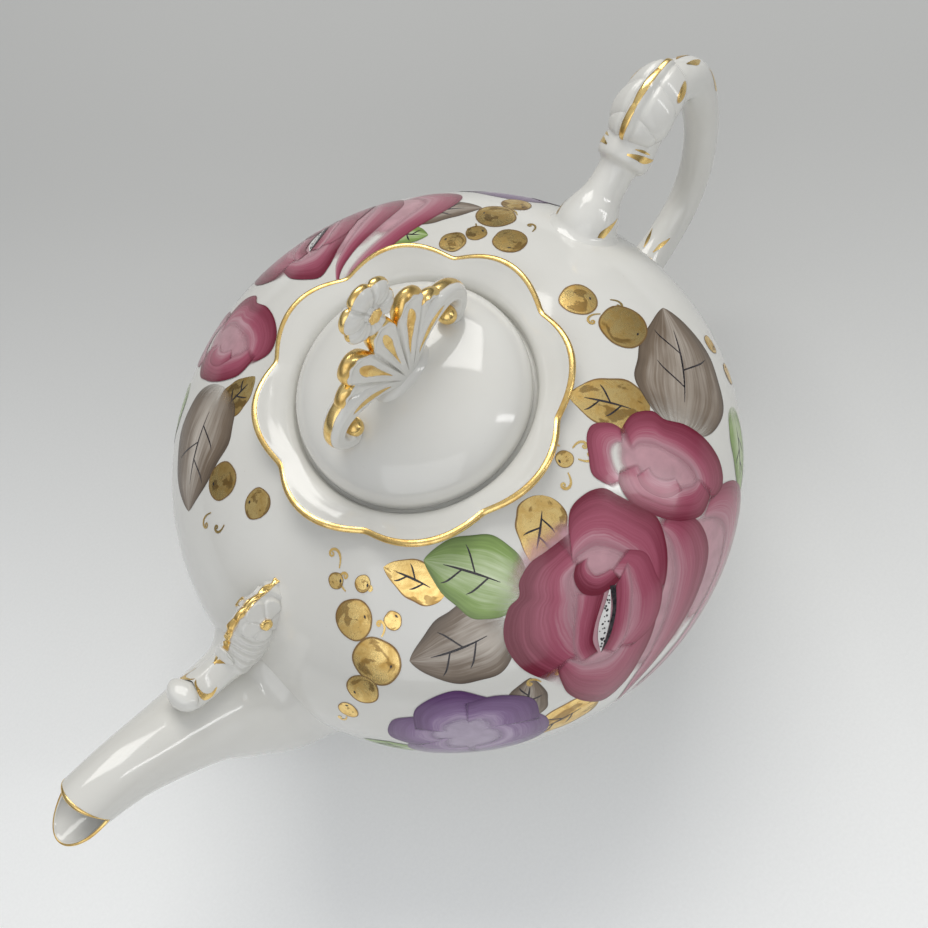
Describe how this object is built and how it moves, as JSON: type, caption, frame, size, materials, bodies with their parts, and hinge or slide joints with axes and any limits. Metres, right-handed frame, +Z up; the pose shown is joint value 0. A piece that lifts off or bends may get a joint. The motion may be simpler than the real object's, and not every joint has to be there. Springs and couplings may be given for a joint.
{
  "type": "porcelain teapot",
  "caption": "Round-bellied porcelain teapot with a lobed mouth collar, curved spout, ear-shaped loop handle and a lift-off lid with a fan-shaped palmette knob.",
  "frame": {"origin": "on the pot's axis, in the plane the foot ring rests on; the spout and the handle reach equally far from it", "axes": "+Z up along the pot's axis, the spout points along -X and the handle along +X, the symmetry plane is y = 0"},
  "size_m": [0.2887, 0.18, 0.1831],
  "materials": {
    "body_shell": "gloss glaze, painted over",
    "foot_ring": "gloss glaze, ground face bare",
    "mouth_collar": "gloss glaze, gilt edge",
    "spout": "gloss glaze, gilt lip",
    "spout_crest": "gloss glaze, gilt beading",
    "handle": "gloss glaze, gilt touches",
    "handle_leaf": "gloss glaze, gilt edge",
    "lid_dome": "gloss glaze",
    "lid_flange": "matt ground edge",
    "lid_fan": "gloss glaze, gilt flutes",
    "lid_scroll_left": "gloss glaze, gilt ball",
    "lid_scroll_right": "gloss glaze, gilt ball",
    "lid_flower": "gloss glaze, gilt eye"
  },
  "bodies": {
    "teapot": {"body_shell": "body_shell", "foot_ring": "foot_ring", "mouth_collar": "mouth_collar", "spout": "spout", "spout_crest": "spout_crest", "handle": "handle", "handle_leaf": "handle_leaf"},
    "lid": {"lid_dome": "lid_dome", "lid_flange": "lid_flange", "lid_fan": "lid_fan", "lid_scroll_left": "lid_scroll_left", "lid_scroll_right": "lid_scroll_right", "lid_flower": "lid_flower"}
  },
  "joints": [
    {"name": "lid_lift", "type": "slide", "parent": "teapot", "child": "lid", "axis": [0, 0, 1], "range_m": [0, 0.08]}
  ]
}
